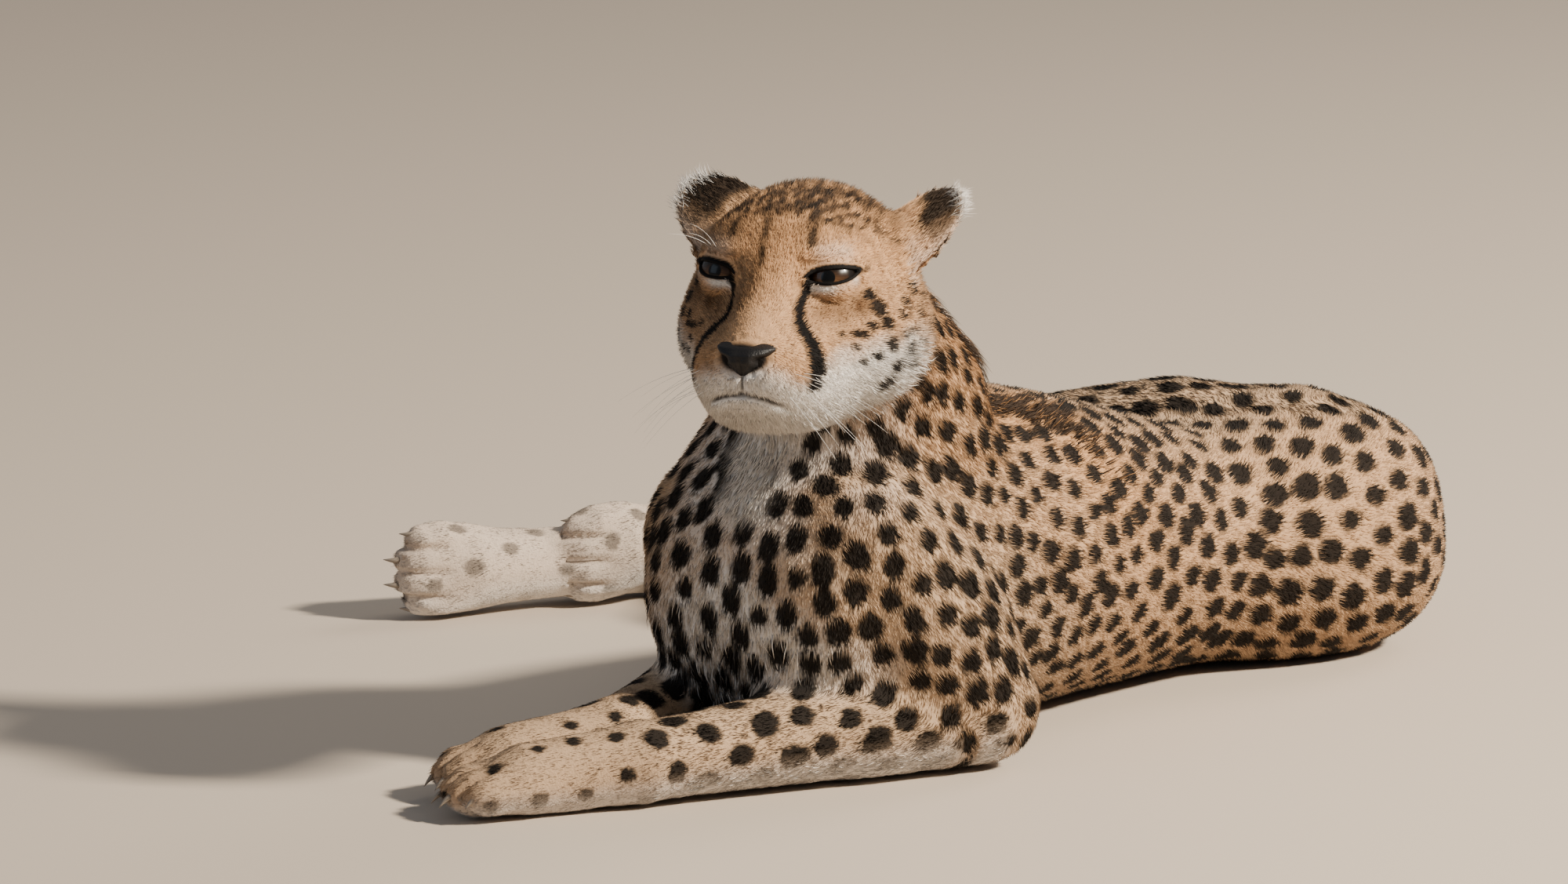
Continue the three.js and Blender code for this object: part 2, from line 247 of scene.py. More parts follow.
# Toes: grooves between them and the knuckles behind. A forepaw lies on its sole, a hind foot on its side. The
# grooves are kept too for the painted shade between the toes.
toe_places = []
toe_shade = np.zeros(len(points))
for name, limb, spread in (("forepaw_left", "left", 15), ("forepaw_right", "right", 15),
                           ("hind_foot_left", "hind_left", 17), ("hind_foot_right", "hind_right", 17)):
    joint, tip = limbs[limb][2:]
    ahead = unit(tip - joint)
    level_across = unit(np.cross(ahead, (0, 0, 1)))
    on_side = limb.startswith("hind")
    across = np.array((0, 0, 1.0)) if on_side else level_across
    sole = level_across if on_side else np.array((0, 0, -1.0))
    toe_places.append((tip, ahead, across, sole, spread / 1000))
    own = regions == region_of[name]
    offset = points - tip
    behind_tip = -(offset @ ahead) * 1000
    beside_tip = offset @ across * 1000 / spread
    groove = np.clip(np.cos(2 * math.pi * beside_tip), 0, 1) ** 2 * (abs(beside_tip) < 1.3)
    groove = groove * fall(behind_tip, 24, 44)
    toe_shade += own * groove
    knuckle = np.exp(-((behind_tip - 20) / 7) ** 2) * (1 - groove)
    points -= skin_normals() * (own * (3.3 * groove - 1.2 * knuckle) / 1000)[:, None]
points[:, 2] = np.maximum(points[:, 2], lowest)
move_skin()


# ---- Face --------------------------------------------------------------------
# The skin of the head is worked over skull and muscle, and gets lids, lips and folds. It starts as a finer
# net, and its places are in millimetres on the head's own axes.

face = bmesh.new()
face.from_mesh(skin_mesh)
place = on_head(skin_points())
fine = (abs(place[:, 0]) < 72) & (abs(place[:, 1] - 71) < 59) & (abs(place[:, 2] - 4) < 76)
face.verts.ensure_lookup_table()
chosen = [e for e in face.edges if fine[e.verts[0].index] and fine[e.verts[1].index]]
bmesh.ops.subdivide_edges(face, edges=chosen, cuts=1, use_grid_fill=True, smooth=0.6)
face.to_mesh(skin_mesh)
face.free()
points = skin_points()
place = on_head(points)
on_face = (np.linalg.norm(place - (0, 20, 0), axis=1) < 130) & (place[:, 1] > -60)
left, right = np.array([(1, 1, 1), (-1, 1, 1)])


def to_line(places, line):
    """Each place's distance from a line of points, and how far along the line it lies, from 0 to 1."""
    line = np.asarray(line, float)
    best = np.full(len(places), 1e9)
    along = np.zeros(len(places))
    for k in range(len(line) - 1):
        step = line[k + 1] - line[k]
        t = np.clip((places - line[k]) @ step / (step @ step), 0, 1)
        away = np.linalg.norm(places - line[k] - t[:, None] * step, axis=1)
        nearer = away < best
        best = np.where(nearer, away, best)
        along = np.where(nearer, (k + t) / (len(line) - 1), along)
    return best, along


def from_front(places, line):
    """The distance to a line as seen from in front, where depth counts for less."""
    flat = np.array([1, 0.3, 1])
    return to_line(places * flat, np.asarray(line, float) * flat)


def mirrored(places):
    return np.c_[abs(places[:, 0]), places[:, 1:]]


# Bone and muscle of the face: sockets, brows, cheekbones, the pads that carry the whiskers, and the chin.
# Each is a middle, the radii over which it fades out, and how far it shifts the surface.
sculpt = place.copy()
for centre, radius, shift in (
        ((24, 66, 27), (13, 18, 18), (0.5, -4.0, 0)), ((38, 56, 20), (22, 20, 11), (0, -1.5, 0)),
        ((36, 56, 47), (27, 20, 11), (0, 5.0, -1.8)), ((26, 78, 6), (12, 24, 20), (-2.0, -2.0, 0)),
        ((19, 104, -31), (16, 20, 13), (2.0, 3.0, -0.5)), ((0, 112, -20), (19, 18, 12), (0, -5.5, 0)),
        ((0, 112, -48), (20, 26, 5), (0, -2.0, 0)), ((0, 104, -60), (30, 38, 14), (0, -0.5, 6.5))):
    for flip in (left, right) if centre[0] else (left,):
        away = (((sculpt - centre * flip) / radius) ** 2).sum(axis=1)
        sculpt += np.clip(1 - away, 0, 1)[:, None] ** 2 * (shift * flip)
mouth = [(0, 112, -40), (7, 112, -41), (15, 109, -43), (24, 103, -47), (29, 98, -51)]
face_normals = skin_normals() @ head_axes.T
from_mouth, along_mouth = from_front(mirrored(sculpt), mouth)
sculpt -= face_normals * (3.0 * np.exp(-(from_mouth / 2.2) ** 2) * (1 - 0.7 * along_mouth))[:, None]
from_lip, _ = from_front(sculpt, [(0, 116, -28), (0, 113, -41)])
sculpt -= face_normals * (2.6 * np.exp(-(from_lip / 1.8) ** 2))[:, None]

# Lids: round each eye the skin lies on a ball a little bigger than the eye, and behind the eye inside the
# opening.
eye_radius = 17.2
corners = np.array([(25, 64, 30), (53, 46, 35)], float)
gaze = unit(np.array([0.18, 0.96, 0.14]))
eye_at = np.array([35, 46, 29]) - 2.5 * gaze
across_eye = unit(corners[1] - corners[0])
ahead_of_eye = np.array([0.35, 0.93, 0.1])
out_of_eye = unit(ahead_of_eye - across_eye * (across_eye @ ahead_of_eye))
up_eye = np.cross(across_eye, out_of_eye)
eye_axes = np.array([across_eye, up_eye, out_of_eye])
half_opening = np.linalg.norm(corners[1] - corners[0]) / 2
opening = eye_axes @ (corners.mean(axis=0) - eye_at)


def lid_edge(x):
    """The upper and the lower edge of the opening at x, from -1 at the inner corner to 1 at the outer."""
    arch = np.clip(1 - x * x, 0, 1)
    return 3.5 * arch ** 0.55 * (1 - 0.3 * x), -4.9 * arch ** 0.8


def from_opening(seen):
    """x along an eye's opening, y above its middle, and how far outside it each place lies."""
    x = (seen[:, 0] - opening[0]) / half_opening
    y = seen[:, 1] - opening[1]
    top, bottom = lid_edge(np.clip(x, -1, 1))
    beside = np.maximum(abs(x) - 1, 0) * half_opening
    return x, y, np.where(beside > 0, np.hypot(beside, y), np.maximum(y - top, bottom - y))


def on_edge(turn):
    """The point of the opening's edge at a turn round it, from its outer corner over the top."""
    top, bottom = lid_edge(np.array(math.cos(turn)))
    return np.array([math.cos(turn) * half_opening, float(top if math.sin(turn) > 0 else bottom)])


def lid_height(x, y):
    """How far out from the eye's middle the lids' surface lies."""
    ball = np.sqrt(np.clip((eye_radius + 1.3) ** 2 - x * x - y * y, 0, None))
    return np.logaddexp(ball * 2, (opening[2] - 0.5) * 2) / 2


for flip in (left, right):
    seen = (sculpt * flip - eye_at) @ eye_axes.T
    x, y, outside = from_opening(seen)
    near = (seen[:, 2] > 2) & (outside < 16) & (abs(x) < 2.2)
    share = fall(outside, 2.5, 11) * near
    lid = lid_height(seen[:, 0], seen[:, 1]) - 0.012 * np.clip(outside, 0, None) ** 2
    lid = np.where(outside < -0.3, lid - 6, lid)
    seen[:, 2] += (lid - seen[:, 2]) * share
    clear = (eye_radius + 1.2) / np.maximum(np.linalg.norm(seen, axis=1), 1)
    close = (clear > 1) & (outside > 0) & (seen[:, 2] > -6) & (outside < 20)
    seen[close] *= clear[close, None]
    sculpt = (seen @ eye_axes + eye_at) * flip
points = np.where(on_face[:, None], off_head(sculpt), points)
move_skin()

# The rims of the lids, each a rounded strip round the opening.
rims = bmesh.new()
rims.from_mesh(skin_mesh)
rim_steps = 72
rim_profile = [(-0.4, -1.6), (-0.1, -0.2), (0.4, 0.3), (1.0, 0.4), (1.7, 0.0), (2.4, -0.9)]
for flip in (left, right):
    rows = []
    for k in range(rim_steps):
        turn = 2 * math.pi * k / rim_steps
        here, ahead = on_edge(turn), on_edge(turn + 0.02)
        tangent = unit(ahead - here)
        outward = np.array([tangent[1], -tangent[0]])
        row = []
        for off, rise in rim_profile:
            px, py = here + outward * off + opening[:2]
            seen = np.array([px, py, float(lid_height(px, py)) + rise])
            row.append(rims.verts.new(off_head((seen @ eye_axes + eye_at) * flip)))
        rows.append(row)
    for row, after in zip(rows, rows[1:] + rows[:1]):
        for j in range(len(rim_profile) - 1):
            ring = [row[j], after[j], after[j + 1], row[j + 1]]
            rims.faces.new(ring[::flip[0]])
rims.to_mesh(skin_mesh)
rims.free()
rim_start = len(points)
points = skin_points()
edges = read(skin_mesh.edges, "vertices", 2, np.int32)
count = len(points)
is_rim = np.arange(count) >= rim_start
on_face = np.r_[on_face, np.ones(count - len(on_face), bool)]
normals = skin_normals()
place = on_head(points)
side_place = mirrored(place)
regions = regions_at(points)
for part in ("eye_left", "eye_right", "nose"):
    regions[regions == region_of[part]] = region_of["head"]
skin_tree = BVHTree.FromPolygons([Vector(p) for p in points], [tuple(p.vertices) for p in skin_mesh.polygons])


# ---- Lie of the hair ---------------------------------------------------------
# The hair lies back along the trunk, down the limbs, along the tail and from the nose over the head. It is
# short and flat on face and feet, longer on neck, breast and tail.

# The trunk's own directions: the spine's line and how far the body has rolled onto its left hip.
spine = np.array([(8, -250, 142), (8, -102, 119), (9, 77, 98), (26, 195, 83), (76, 378, 77)]) / 1000
roll = math.radians(80) * ramp(points[:, 1], -0.16, 0.08)
back_up = np.c_[np.sin(roll), np.zeros(count), np.cos(roll)]
spine_x, spine_z = [np.interp(points[:, 1], spine[:, 1], spine[:, k]) for k in (0, 2)]
dorsal = (unit(points - np.c_[spine_x, points[:, 1], spine_z]) * back_up).sum(axis=1)


def in_region(*starts):
    """Which points lie on the parts whose names begin like this."""
    return np.isin(regions, [region_of[n] for n in nodes if n.startswith(starts)])


def mix(first, second, share):
    return first + (np.asarray(second) - first) * share[:, None]


lie = np.zeros((count, 3))
trunk = in_region("chest", "belly", "rump")
backward = mix(np.tile((0, 0.15, -1.0), (count, 1)), np.array([0.05, 1.0, 0]) - back_up * 0.45,
               ramp(points[:, 1], -0.24, -0.08))
lie[trunk] = backward[trunk]
lie[in_region("neck")] = (0, 0.45, -0.9)
for side in ("left", "right"):
    for limb, names in ((side, ("upper_arm_", "forearm_", "forepaw_")),
                        ("hind_" + side, ("thigh_", "shank_", "hind_foot_"))):
        for name, way in zip(names, np.diff(limbs[limb], axis=0)):
            lie[in_region(name + side)] = unit(way)
tail = in_region("tail")
_, along_tail = to_line(points[tail], tail_line)
steps = unit(np.diff(tail_line, axis=0))
lie[tail] = steps[np.clip((along_tail * len(steps)).astype(int), 0, len(steps) - 1)]
head_part = in_region("head")
flow = unit(place - (0, 104, -14))
flow[:, 1] -= 0.5
flow[:, 2] -= 0.35 * ramp(-place[:, 2], -5, 30)
lie[head_part] = (flow @ head_axes)[head_part]
ears = in_region("ear")
ear_way = np.array([0.68, 0.1, 0.66])
for side, flip in (("left", left), ("right", right)):
    lie[in_region("ear_" + side)] = flip * ear_way @ head_axes
lie = smoothed(unit(lie), 14)
lie = unit(lie - normals * (lie * normals).sum(axis=1, keepdims=True))

# How long the hair is, how far it stands up and how thick a tuft is, in millimetres.
hair = {
    "head": (6, 0.30, 0.7), "ear": (6, 0.32, 0.7), "neck": (7.5, 0.34, 1.05), "chest": (7, 0.34, 1.05),
    "belly": (6.5, 0.34, 1.05), "rump": (6.2, 0.32, 1.05), "tail": (10, 0.32, 1.2),
    "upper_arm": (6.8, 0.32, 1.0), "forearm": (5.8, 0.23, 0.8), "forepaw": (5.4, 0.19, 0.62),
    "thigh": (6.2, 0.32, 1.05), "shank": (5.8, 0.23, 0.85), "hind_foot": (5.2, 0.17, 0.58),
}
length, lift, girth = by_region(hair, (1, 1, 1))
far_back = ramp(-place[:, 1], -45, 25)
length = np.where(head_part, 4.8 + 5 * far_back, length)
lift = np.where(head_part, 0.42, lift)
cheek = head_part * ramp(side_place[:, 0], 38, 62) * ramp(-place[:, 2], -10, 25)
length += 4.5 * cheek * ramp(-place[:, 1], -60, -20)
chin = head_part * ramp(-place[:, 2], 45, 62)
length += 5 * chin
length = np.where(head_part & (to_line(side_place, [(0, 114, -16), (0, 96, 0)])[0] < 13), 3.2, length)
length += 8 * in_region("tail_tip")
low_down = ramp(-dorsal, 0.3, 0.8) * ramp(-points[:, 2], -0.14, -0.08)
length += 1.2 * in_region("belly", "chest") * low_down
length, lift, girth = smoothed(np.c_[length, lift, girth], 10).T


# ---- Markings ----------------------------------------------------------------
# The hairs' own colours: tawny above, paler down the sides, white below, with solid round spots on all but
# the white. The face has tear lines, dark rims of the eyes, a white chin and cheeks, and a speckled crown.
# Painted shade goes in with them between the toes, down the shaded side of the nose's bridge and under the
# eyes.


def waves(points, size, seed=0):
    """Smooth random values near -1 to 1 that vary over a distance of size."""
    turns = np.random.default_rng(seed)
    total = np.zeros(len(points))
    for _ in range(6):
        direction = turns.normal(size=3)
        total += np.sin(points @ direction / size * 2.2 + turns.uniform(0, 6.3))
    return total / 2.4


tawny = np.array((0.48, 0.28, 0.145))
orange = np.array((0.52, 0.265, 0.11))
buff = np.array((0.47, 0.32, 0.20))
white = np.array((0.72, 0.69, 0.65))
black = np.array((0.006, 0.005, 0.0045))
brown = np.array((0.16, 0.085, 0.04))
uneven = waves(points, 0.03, 3) * 0.5 + waves(points, 0.009, 4) * 0.3

colour = np.tile(buff, (count, 1))


def paint(hue, share):
    """Mixes a colour into the coat's, by a share for each place."""
    colour[:] = mix(colour, hue, share)


paint(tawny, 0.6 * trunk * ramp(dorsal + 0.12 * uneven, 0.1, 0.9))
paint(tawny, in_region("neck", "head", "ear") * 0.85)
under = trunk * ramp(0.15 * uneven - dorsal, 0.3, 0.9) * (1 - 0.75 * in_region("rump"))
in_front = in_region("neck", "chest")
breast = in_front * ramp(-normals[:, 1], 0.35, 0.85) * ramp(-points[:, 1], 0.16, 0.26)
breast *= fall(abs(points[:, 0] + 0.005) + 0.02 * uneven, 0.0, 0.10)
throat = in_front * ramp(points[:, 2], 0.15, 0.23) * ramp(-points[:, 1], 0.16, 0.24)
from_throat = to_line(points, np.array([(25, -195, 240), (0, -233, 207), (8, -246, 190)]) / 1000)[0]
bare_throat = fall(from_throat + 0.004 * uneven, 0.010, 0.027)
paint(white, np.clip(0.9 * under + 0.55 * breast + 0.6 * throat + bare_throat, 0, 0.95))
inner = in_region("forearm", "forepaw", "shank", "hind_foot") * ramp(-normals[:, 2], 0.1, 0.7)
paint(white, inner * 0.8)
paint(white, in_region("hind_foot") * 0.35 + in_region("shank") * 0.15)
toe_shade = np.r_[toe_shade, np.zeros(count - len(toe_shade))]
# Brown over the forepaws, and painted shade in the grooves between the toes.
paint(brown, 0.15 * in_region("forepaw") + toe_shade * (0.8 - 0.45 * in_region("hind_foot")))

paint(orange, 0.4 * head_part * ramp(place[:, 2], 0, 55))
white_from = np.interp(side_place[:, 0], (12, 22, 34, 43, 62, 78), (-13, -17, -22, -10, -3, 6))
head_white = ramp(white_from - place[:, 2] + 5 * uneven, 0, 20)
head_white *= ramp(place[:, 1] - 0.4 * place[:, 2], -30, 25)
colour = smoothed(colour, np.where(head_part, 4, 16))
under_eye = np.exp(-(to_line(side_place, [(28, 62, 23), (38, 60, 24), (50, 48, 29)])[0] / 3.0) ** 2)
over_eye = 0.25 * np.exp(-(to_line(side_place, [(32, 58, 45), (46, 50, 46)])[0] / 6) ** 2)
paint(white, head_part * np.clip(head_white + under_eye + over_eye, 0, 0.95))

# How far apart the spots stand and the size of a spot, in millimetres.
spots = {
    "head": (7.2, 3.8), "ear": (60, 1), "neck": (16.5, 8.8), "chest": (17.5, 9.1), "belly": (19, 10.2),
    "rump": (19.5, 9.8), "tail": (19, 9.2), "upper_arm": (17.5, 9.2), "forearm": (20.5, 9.6),
    "forepaw": (26, 5.5), "thigh": (19.5, 9.8), "shank": (19, 9), "hind_foot": (26, 6),
}
spacing, spot_size = by_region(spots, (1, 1)) / 1000
crown_edge = np.interp(place[:, 1], (-80, -45, 0, 30, 44, 60), (-60, 5, 50, 57, 61, 80)) + 7 * uneven
bare = ears | is_rim | (head_part & (place[:, 2] < crown_edge))
bare |= trunk & (dorsal < -0.85) & (points[:, 1] > -0.12) & (points[:, 1] < 0.33)
spotted = np.flatnonzero(~bare)
chance = np.random.default_rng(11)
chosen_at = []
placed, reach = np.empty((6000, 3)), np.empty(6000)
for i in chance.permutation(spotted)[:70000]:
    number = len(chosen_at)
    between = np.linalg.norm(placed[:number] - points[i], axis=1)
    if (between >= (reach[:number] + spacing[i]) / 2).all():
        placed[number], reach[number] = points[i], spacing[i]
        chosen_at.append(i)


def finder_of(places):
    """Finds the nearest of the places and its number."""
    made = KDTree(len(places))
    for i, p in enumerate(places):
        made.insert(p, i)
    made.balance()
    return made


# The spots shift towards the middles of their own patches of skin, so that they stand evenly apart.
finder = finder_of(points)
for _ in range(3):
    nearest = finder_of(points[chosen_at])
    owner = np.array([nearest.find(p)[1] for p in points[spotted].tolist()])
    share = np.maximum(np.bincount(owner, minlength=len(chosen_at)), 1)[:, None]
    heart = [np.bincount(owner, points[spotted, c], len(chosen_at)) for c in range(3)]
    chosen_at = [finder.find(p)[1] for p in (np.stack(heart, axis=1) / share).tolist()]

# Each is drawn out along the hair and has a ragged edge.
spot = np.zeros(count)
apart = []
for i in chosen_at:
    if apart and np.linalg.norm(points[apart] - points[i], axis=1).min() < 0.9 * spacing[i]:
        continue
    apart.append(i)
    size = spot_size[i] * chance.uniform(0.80, 1.08)
    if head_part[i]:
        size *= 0.6 + 0.4 * float(ramp(place[i, 2], 56, 74))
    along = lie[i]
    aside = np.cross(normals[i], along)
    stretch = chance.uniform(1.0, 1.2) + 0.1 * breast[i] + 0.4 * head_part[i]
    near = finder.find_range(Vector(points[i]), size * 2.2)
    index = np.array([n[1] for n in near])
    offset = points[index] - points[i]
    ragged = 1 + 0.08 * waves(points[index], 0.007, 9)
    away = np.hypot(offset @ along / (size * stretch), offset @ aside / (size / math.sqrt(stretch))) * ragged
    spot[index] = np.maximum(spot[index], fall(away, 0.9, 1.08))
spot *= (1 - 0.95 * bare_throat) * (1 - 0.35 * in_region("hind_foot"))
spot *= np.where(trunk, 1 - 0.2 * ramp(-dorsal, 0.35, 0.7) * in_region("belly"), 1) * (1 - 0.7 * inner)
paint(black, spot * np.where(head_part, 0.9, 0.98))

# The dark crest along the nape and the back.
crest_line = np.array([(60, -105, 268), (60, -40, 236), (68, 20, 200), (95, 40, 165), (110, 80, 120),
                       (108, 190, 110), (140, 260, 104)]) / 1000
crest_line = np.array([skin_tree.find_nearest(Vector(p))[0] for p in (off_head((10, -70, 45)), *crest_line)])
from_crest, along_crest = to_line(points, crest_line)
crest_share = fall(from_crest + 0.005 * uneven, 0.004, 0.018) * ramp(along_crest, 0.0, 0.08)
crest_share *= fall(along_crest, 0.30, 0.62)
beside_crest = fall(from_crest, 0.01, 0.06) * ramp(along_crest, 0.0, 0.1)
beside_crest *= fall(along_crest, 0.5, 0.9)
paint(orange, 0.6 * beside_crest * (1 - spot))
paint(brown, 0.45 * crest_share)

# Face: tear lines, streaks of the brow, the speckled crown, the dark outer corner, and the lips.
tear = [(25, 65, 27), (23, 71, 17), (22.5, 75, 10), (24, 78, 4),
        (29, 81, -3), (35, 84, -9), (39, 86, -17), (41, 89, -26)]
from_tear, along_tear = from_front(side_place, tear)
tear_share = fall(from_tear + 0.5 * uneven, 2.3 + 0.6 * along_tear, 3.5 + 0.9 * along_tear)
patch = np.linalg.norm((side_place - (41, 90, -33)) / (5.5, 9, 5.5), axis=1)
tear_share = np.maximum(tear_share, fall(patch + 0.15 * uneven, 0.7, 1.15))
corner, along_corner = to_line(side_place, [(52, 46, 35), (58, 38, 35), (64, 27, 30), (68, 15, 22)])
corner_share = fall(corner + 0.6 * uneven, 1.2, 3.4) * (1 - 0.8 * along_corner)
streaks = np.zeros(count)
broken = 1 - 0.5 * ramp(waves(points, 0.007, 21), 0.3, 0.9)
for width, line in ((2.4, [(-8, 48, 69), (-6, 57, 60), (-4, 70, 38)]),
                    (3.0, [(19, 36, 75), (21, 46, 68), (25, 58, 50)]),
                    (2.6, [(-27, 36, 74), (-28, 46, 66), (-29, 57, 52)]),
                    (2.8, [(7, 30, 80), (8, 46, 71)]),
                    (2.4, [(34, 34, 70), (39, 44, 62)])):
    away, _ = to_line(place, line)
    streaks = np.maximum(streaks, fall(away + 0.7 * uneven, width * 0.5, width * 1.8) * broken)
# Painted shade: brown down the shaded side of the nose's bridge, on the head's right only, with a ragged
# edge.
from_bridge = from_front(place, [(-5, 68, 44), (-8, 79, 26), (-12, 90, 10)])[0]
bridge_shade = 0.6 * fall(from_bridge + 2 * uneven, 1.5, 7.5)
speckle = ramp(waves(points, 0.0075, 31) + 0.4 * waves(points, 0.0035, 32), -0.1, 0.5)
speckle *= ramp(place[:, 2] - crown_edge + 3 * uneven, -9, 5)
dark_face = np.maximum.reduce([tear_share, corner_share, 0.9 * streaks, 0.74 * speckle]) * head_part
paint(brown, bridge_shade * head_part)
dapple = ramp(waves(points, 0.009, 41) + 0.5 * waves(points, 0.004, 42), -0.2, 0.8)
paint(brown, (0.10 + 0.42 * dapple) * head_part * ramp(place[:, 2], 44, 60))
mottled = 0.85 + 0.3 * waves(points, 0.006, 23)
# Under each eye: brown with a dark mottle, partly the coat's own marking and partly painted shade below the
# eye.
below_eye_shade_and_mottle = np.exp(-(from_front(side_place, [(36, 60, 10), (46, 53, 9), (57, 43, 15)])[0] / 8) ** 2)
paint(brown, mottled * head_part * below_eye_shade_and_mottle * ramp(place[:, 1], 20, 45))
paint(black, dark_face)
from_mouth, along_mouth = from_front(side_place, mouth)
lip = fall(from_mouth, 0.8, 2.4) * fall(along_mouth, 0.6, 1.0)
lip = np.maximum(lip, fall(from_front(place, [(0, 114, -29), (0, 112, -41)])[0], 0.6, 1.6))
lip = lip * head_part * (place[:, 1] > 70)
paint(black * 1.6, 0.9 * lip)

# The cheek's own spots, from the mouth's corner back to the ruff, each with its radius.
cheek_spots = np.zeros(count)
for out, ahead_of, above, size in (
        (48, 59, -4, 1.7), (54, 52, -5, 2.0), (60, 47, -5, 2.0), (62, 43, 0, 2.3), (54, 53, -12, 1.8),
        (58, 48, -21, 1.8), (64, 40, -19, 2.2), (59, 37, 20, 2.8), (65, 34, 11, 4.0), (69, 33, 0, 3.3),
        (71, 31, -13, 3.4), (73, 22, -25, 3.8), (67, 23, -36, 3.8), (76, 21, -6, 2.6), (76, 16, 5, 3.2),
        (77, 15, -15, 3.6), (75, 8, 13, 3.0), (79, 6, -5, 2.8), (76, 7, -25, 3.4), (76, -6, 4, 3.4),
        (74, -6, 20, 3.6), (75, -7, -14, 3.6), (72, -22, -4, 3.8), (70, -20, 14, 3.6), (69, -10, -32, 3.8)):
    for flip in (left, right):
        dot = (np.array((out, ahead_of, above)) + chance.normal(0, 0.6, 3)) * flip
        away = np.linalg.norm((place - dot) * (0.25, 1, 1), axis=1) + 0.4 * uneven
        away += 99 * (place[:, 0] * flip[0] < 30)
        cheek_spots = np.maximum(cheek_spots, fall(away, 1.2 * size, 1.6 * size))
paint(black, 0.97 * cheek_spots * head_part)

# Four rows of dots where the whiskers stand, the dark rims of the lids and the edge of the nose pad.
dots = np.zeros(count)
for row in range(4):
    for k in range(5):
        dot = (22 + 3.4 * k, 108 - 4.6 * k, -22 - 4.6 * row - 0.6 * k)
        dots = np.maximum(dots, fall(np.linalg.norm(side_place - dot, axis=1), 0.8, 1.9))
paint(brown, 0.55 * dots * head_part)
lid_zone = np.zeros(count)
for flip in (left, right):
    seen = (place * flip - eye_at) @ eye_axes.T
    _, y, outside = from_opening(seen)
    width = np.where(y > 0, 2.6, 1.4)
    near_eye = (seen[:, 2] > 4) & (abs(seen[:, 0]) < 40)
    lid_zone = np.maximum(lid_zone, fall(outside, width, width + 1.2) * near_eye)
paint(black, np.maximum(lid_zone * on_face, is_rim))
from_nose = np.linalg.norm((place - on_head(middle("nose"))) / (18, 19, 11), axis=1)
paint(black * 1.5, fall(from_nose, 0.8, 1.05) * head_part)

# Ears: a black patch on the back, white at the rim and inside, brown in the hollow.
fringe = np.zeros(count)
for side, flip in (("left", left), ("right", right)):
    own = in_region("ear_" + side)
    root = flip * (53, -40, 42)
    rise = unit(flip * ear_way)
    across = unit(np.cross(rise, flip * (0.55, 0.65, -0.5)))
    facing = np.cross(across, rise)
    rooted = (place - root) @ rise / 54
    edge = np.hypot(rooted * 0.9, (place - root) @ across / 39)
    inward = (normals @ head_axes.T) @ facing
    patch = ramp(rooted + 0.1 * uneven, 0.34, 0.48) * fall(rooted, 0.84, 0.95)
    patch *= ramp(-inward, -0.5, 0.0)
    fringe = np.maximum(fringe, own * ramp(edge, 0.6, 0.85) * ramp(rooted, 0.2, 0.5))
    rim = ramp(edge, 0.84, 1.0)
    paint(black, own * patch * 0.95)
    paint(white, own * np.maximum(rim, 0.3 * ramp(inward, 0.1, 0.5)))
    paint(brown, own * 0.5 * ramp(inward, 0.3, 0.8) * fall(rooted, 0.2, 0.5))

# Tail: rings over its last third, and a white tip.
_, along_tail = to_line(points, tail_line)
rings = tail * ramp(np.sin(along_tail * 62), 0.1, 0.5) * ramp(along_tail, 0.62, 0.72)
paint(black, 0.95 * rings)
paint(white, in_region("tail_tip") * ramp(along_tail, 0.97, 0.99))
colour = np.clip(colour, 0.004, 1)


# ---- Surface of the skin -----------------------------------------------------
# Under the hair the skin has the coat's own colours, with the painted shade among them, and a fine grain of
# short hair. One unwrap of it serves the tufts too.


def colour_attribute(mesh, colours):
    made = mesh.attributes.new("coat", "FLOAT_COLOR", "POINT")
    made.data.foreach_set("color", np.c_[colours, np.ones(len(colours))].astype(np.float32).ravel())


class Sum:
    """A value in a material that can be added and multiplied as a number is."""

    def __init__(self, tree, socket):
        self.tree = tree
        self.socket = socket

    def out(self, kind, settings=None, output=0, **sockets):
        """The output of a new node with its settings and what goes into its sockets."""
        made = self.tree.nodes.new("ShaderNode" + kind)
        for name, value in (settings or {}).items():
            setattr(made, name, value)
        for name, value in sockets.items():
            found = made.inputs[int(name[1:])] if name[0] == "_" else made.inputs[name.replace("_", " ")]
            if isinstance(value, Sum):
                self.tree.links.new(value.socket, found)
            else:
                found.default_value = value
        return Sum(self.tree, made.outputs[output])

    def __add__(self, other):
        return self.out("Math", {"operation": "ADD"}, _0=self, _1=other)

    def __mul__(self, other):
        return self.out("Math", {"operation": "MULTIPLY"}, _0=self, _1=other)

    def ramp(self, low, high):
        """0 below low, 1 above high, and smooth between them."""
        return self.out("MapRange", {"interpolation_type": "SMOOTHSTEP"}, Value=self, From_Min=low,
                        From_Max=high)

    def between(self, first, second):
        """The first colour where the value is 0 and the second where it is 1."""
        return self.out("Mix", {"data_type": "RGBA"}, 2, _0=self, _6=first, _7=second)

    def times(self, colour):
        """A colour made lighter or darker by the value."""
        return self.out("VectorMath", {"operation": "SCALE"}, _0=colour, Scale=self)


def piece(name, mesh, own_material):
    """A piece on the body, shaded smooth, in its material."""
    mesh.polygons.foreach_set("use_smooth", np.ones(len(mesh.polygons), bool))
    mesh.materials.append(own_material)
    made = to_object(name, mesh)
    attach(made, "root")
    return made


def material(name, **constants):
    """A material with its main shader, and a Sum to start from."""
    made = bpy.data.materials.new(name)
    made.use_nodes = True
    tree = made.node_tree
    shader = tree.nodes["Principled BSDF"]
    for key, value in constants.items():
        shader.inputs[key.replace("_", " ")].default_value = value
    start = Sum(tree, None)

    def join(**sockets):
        for key, value in sockets.items():
            tree.links.new(value.socket, shader.inputs[key.replace("_", " ")])

    return made, start, join


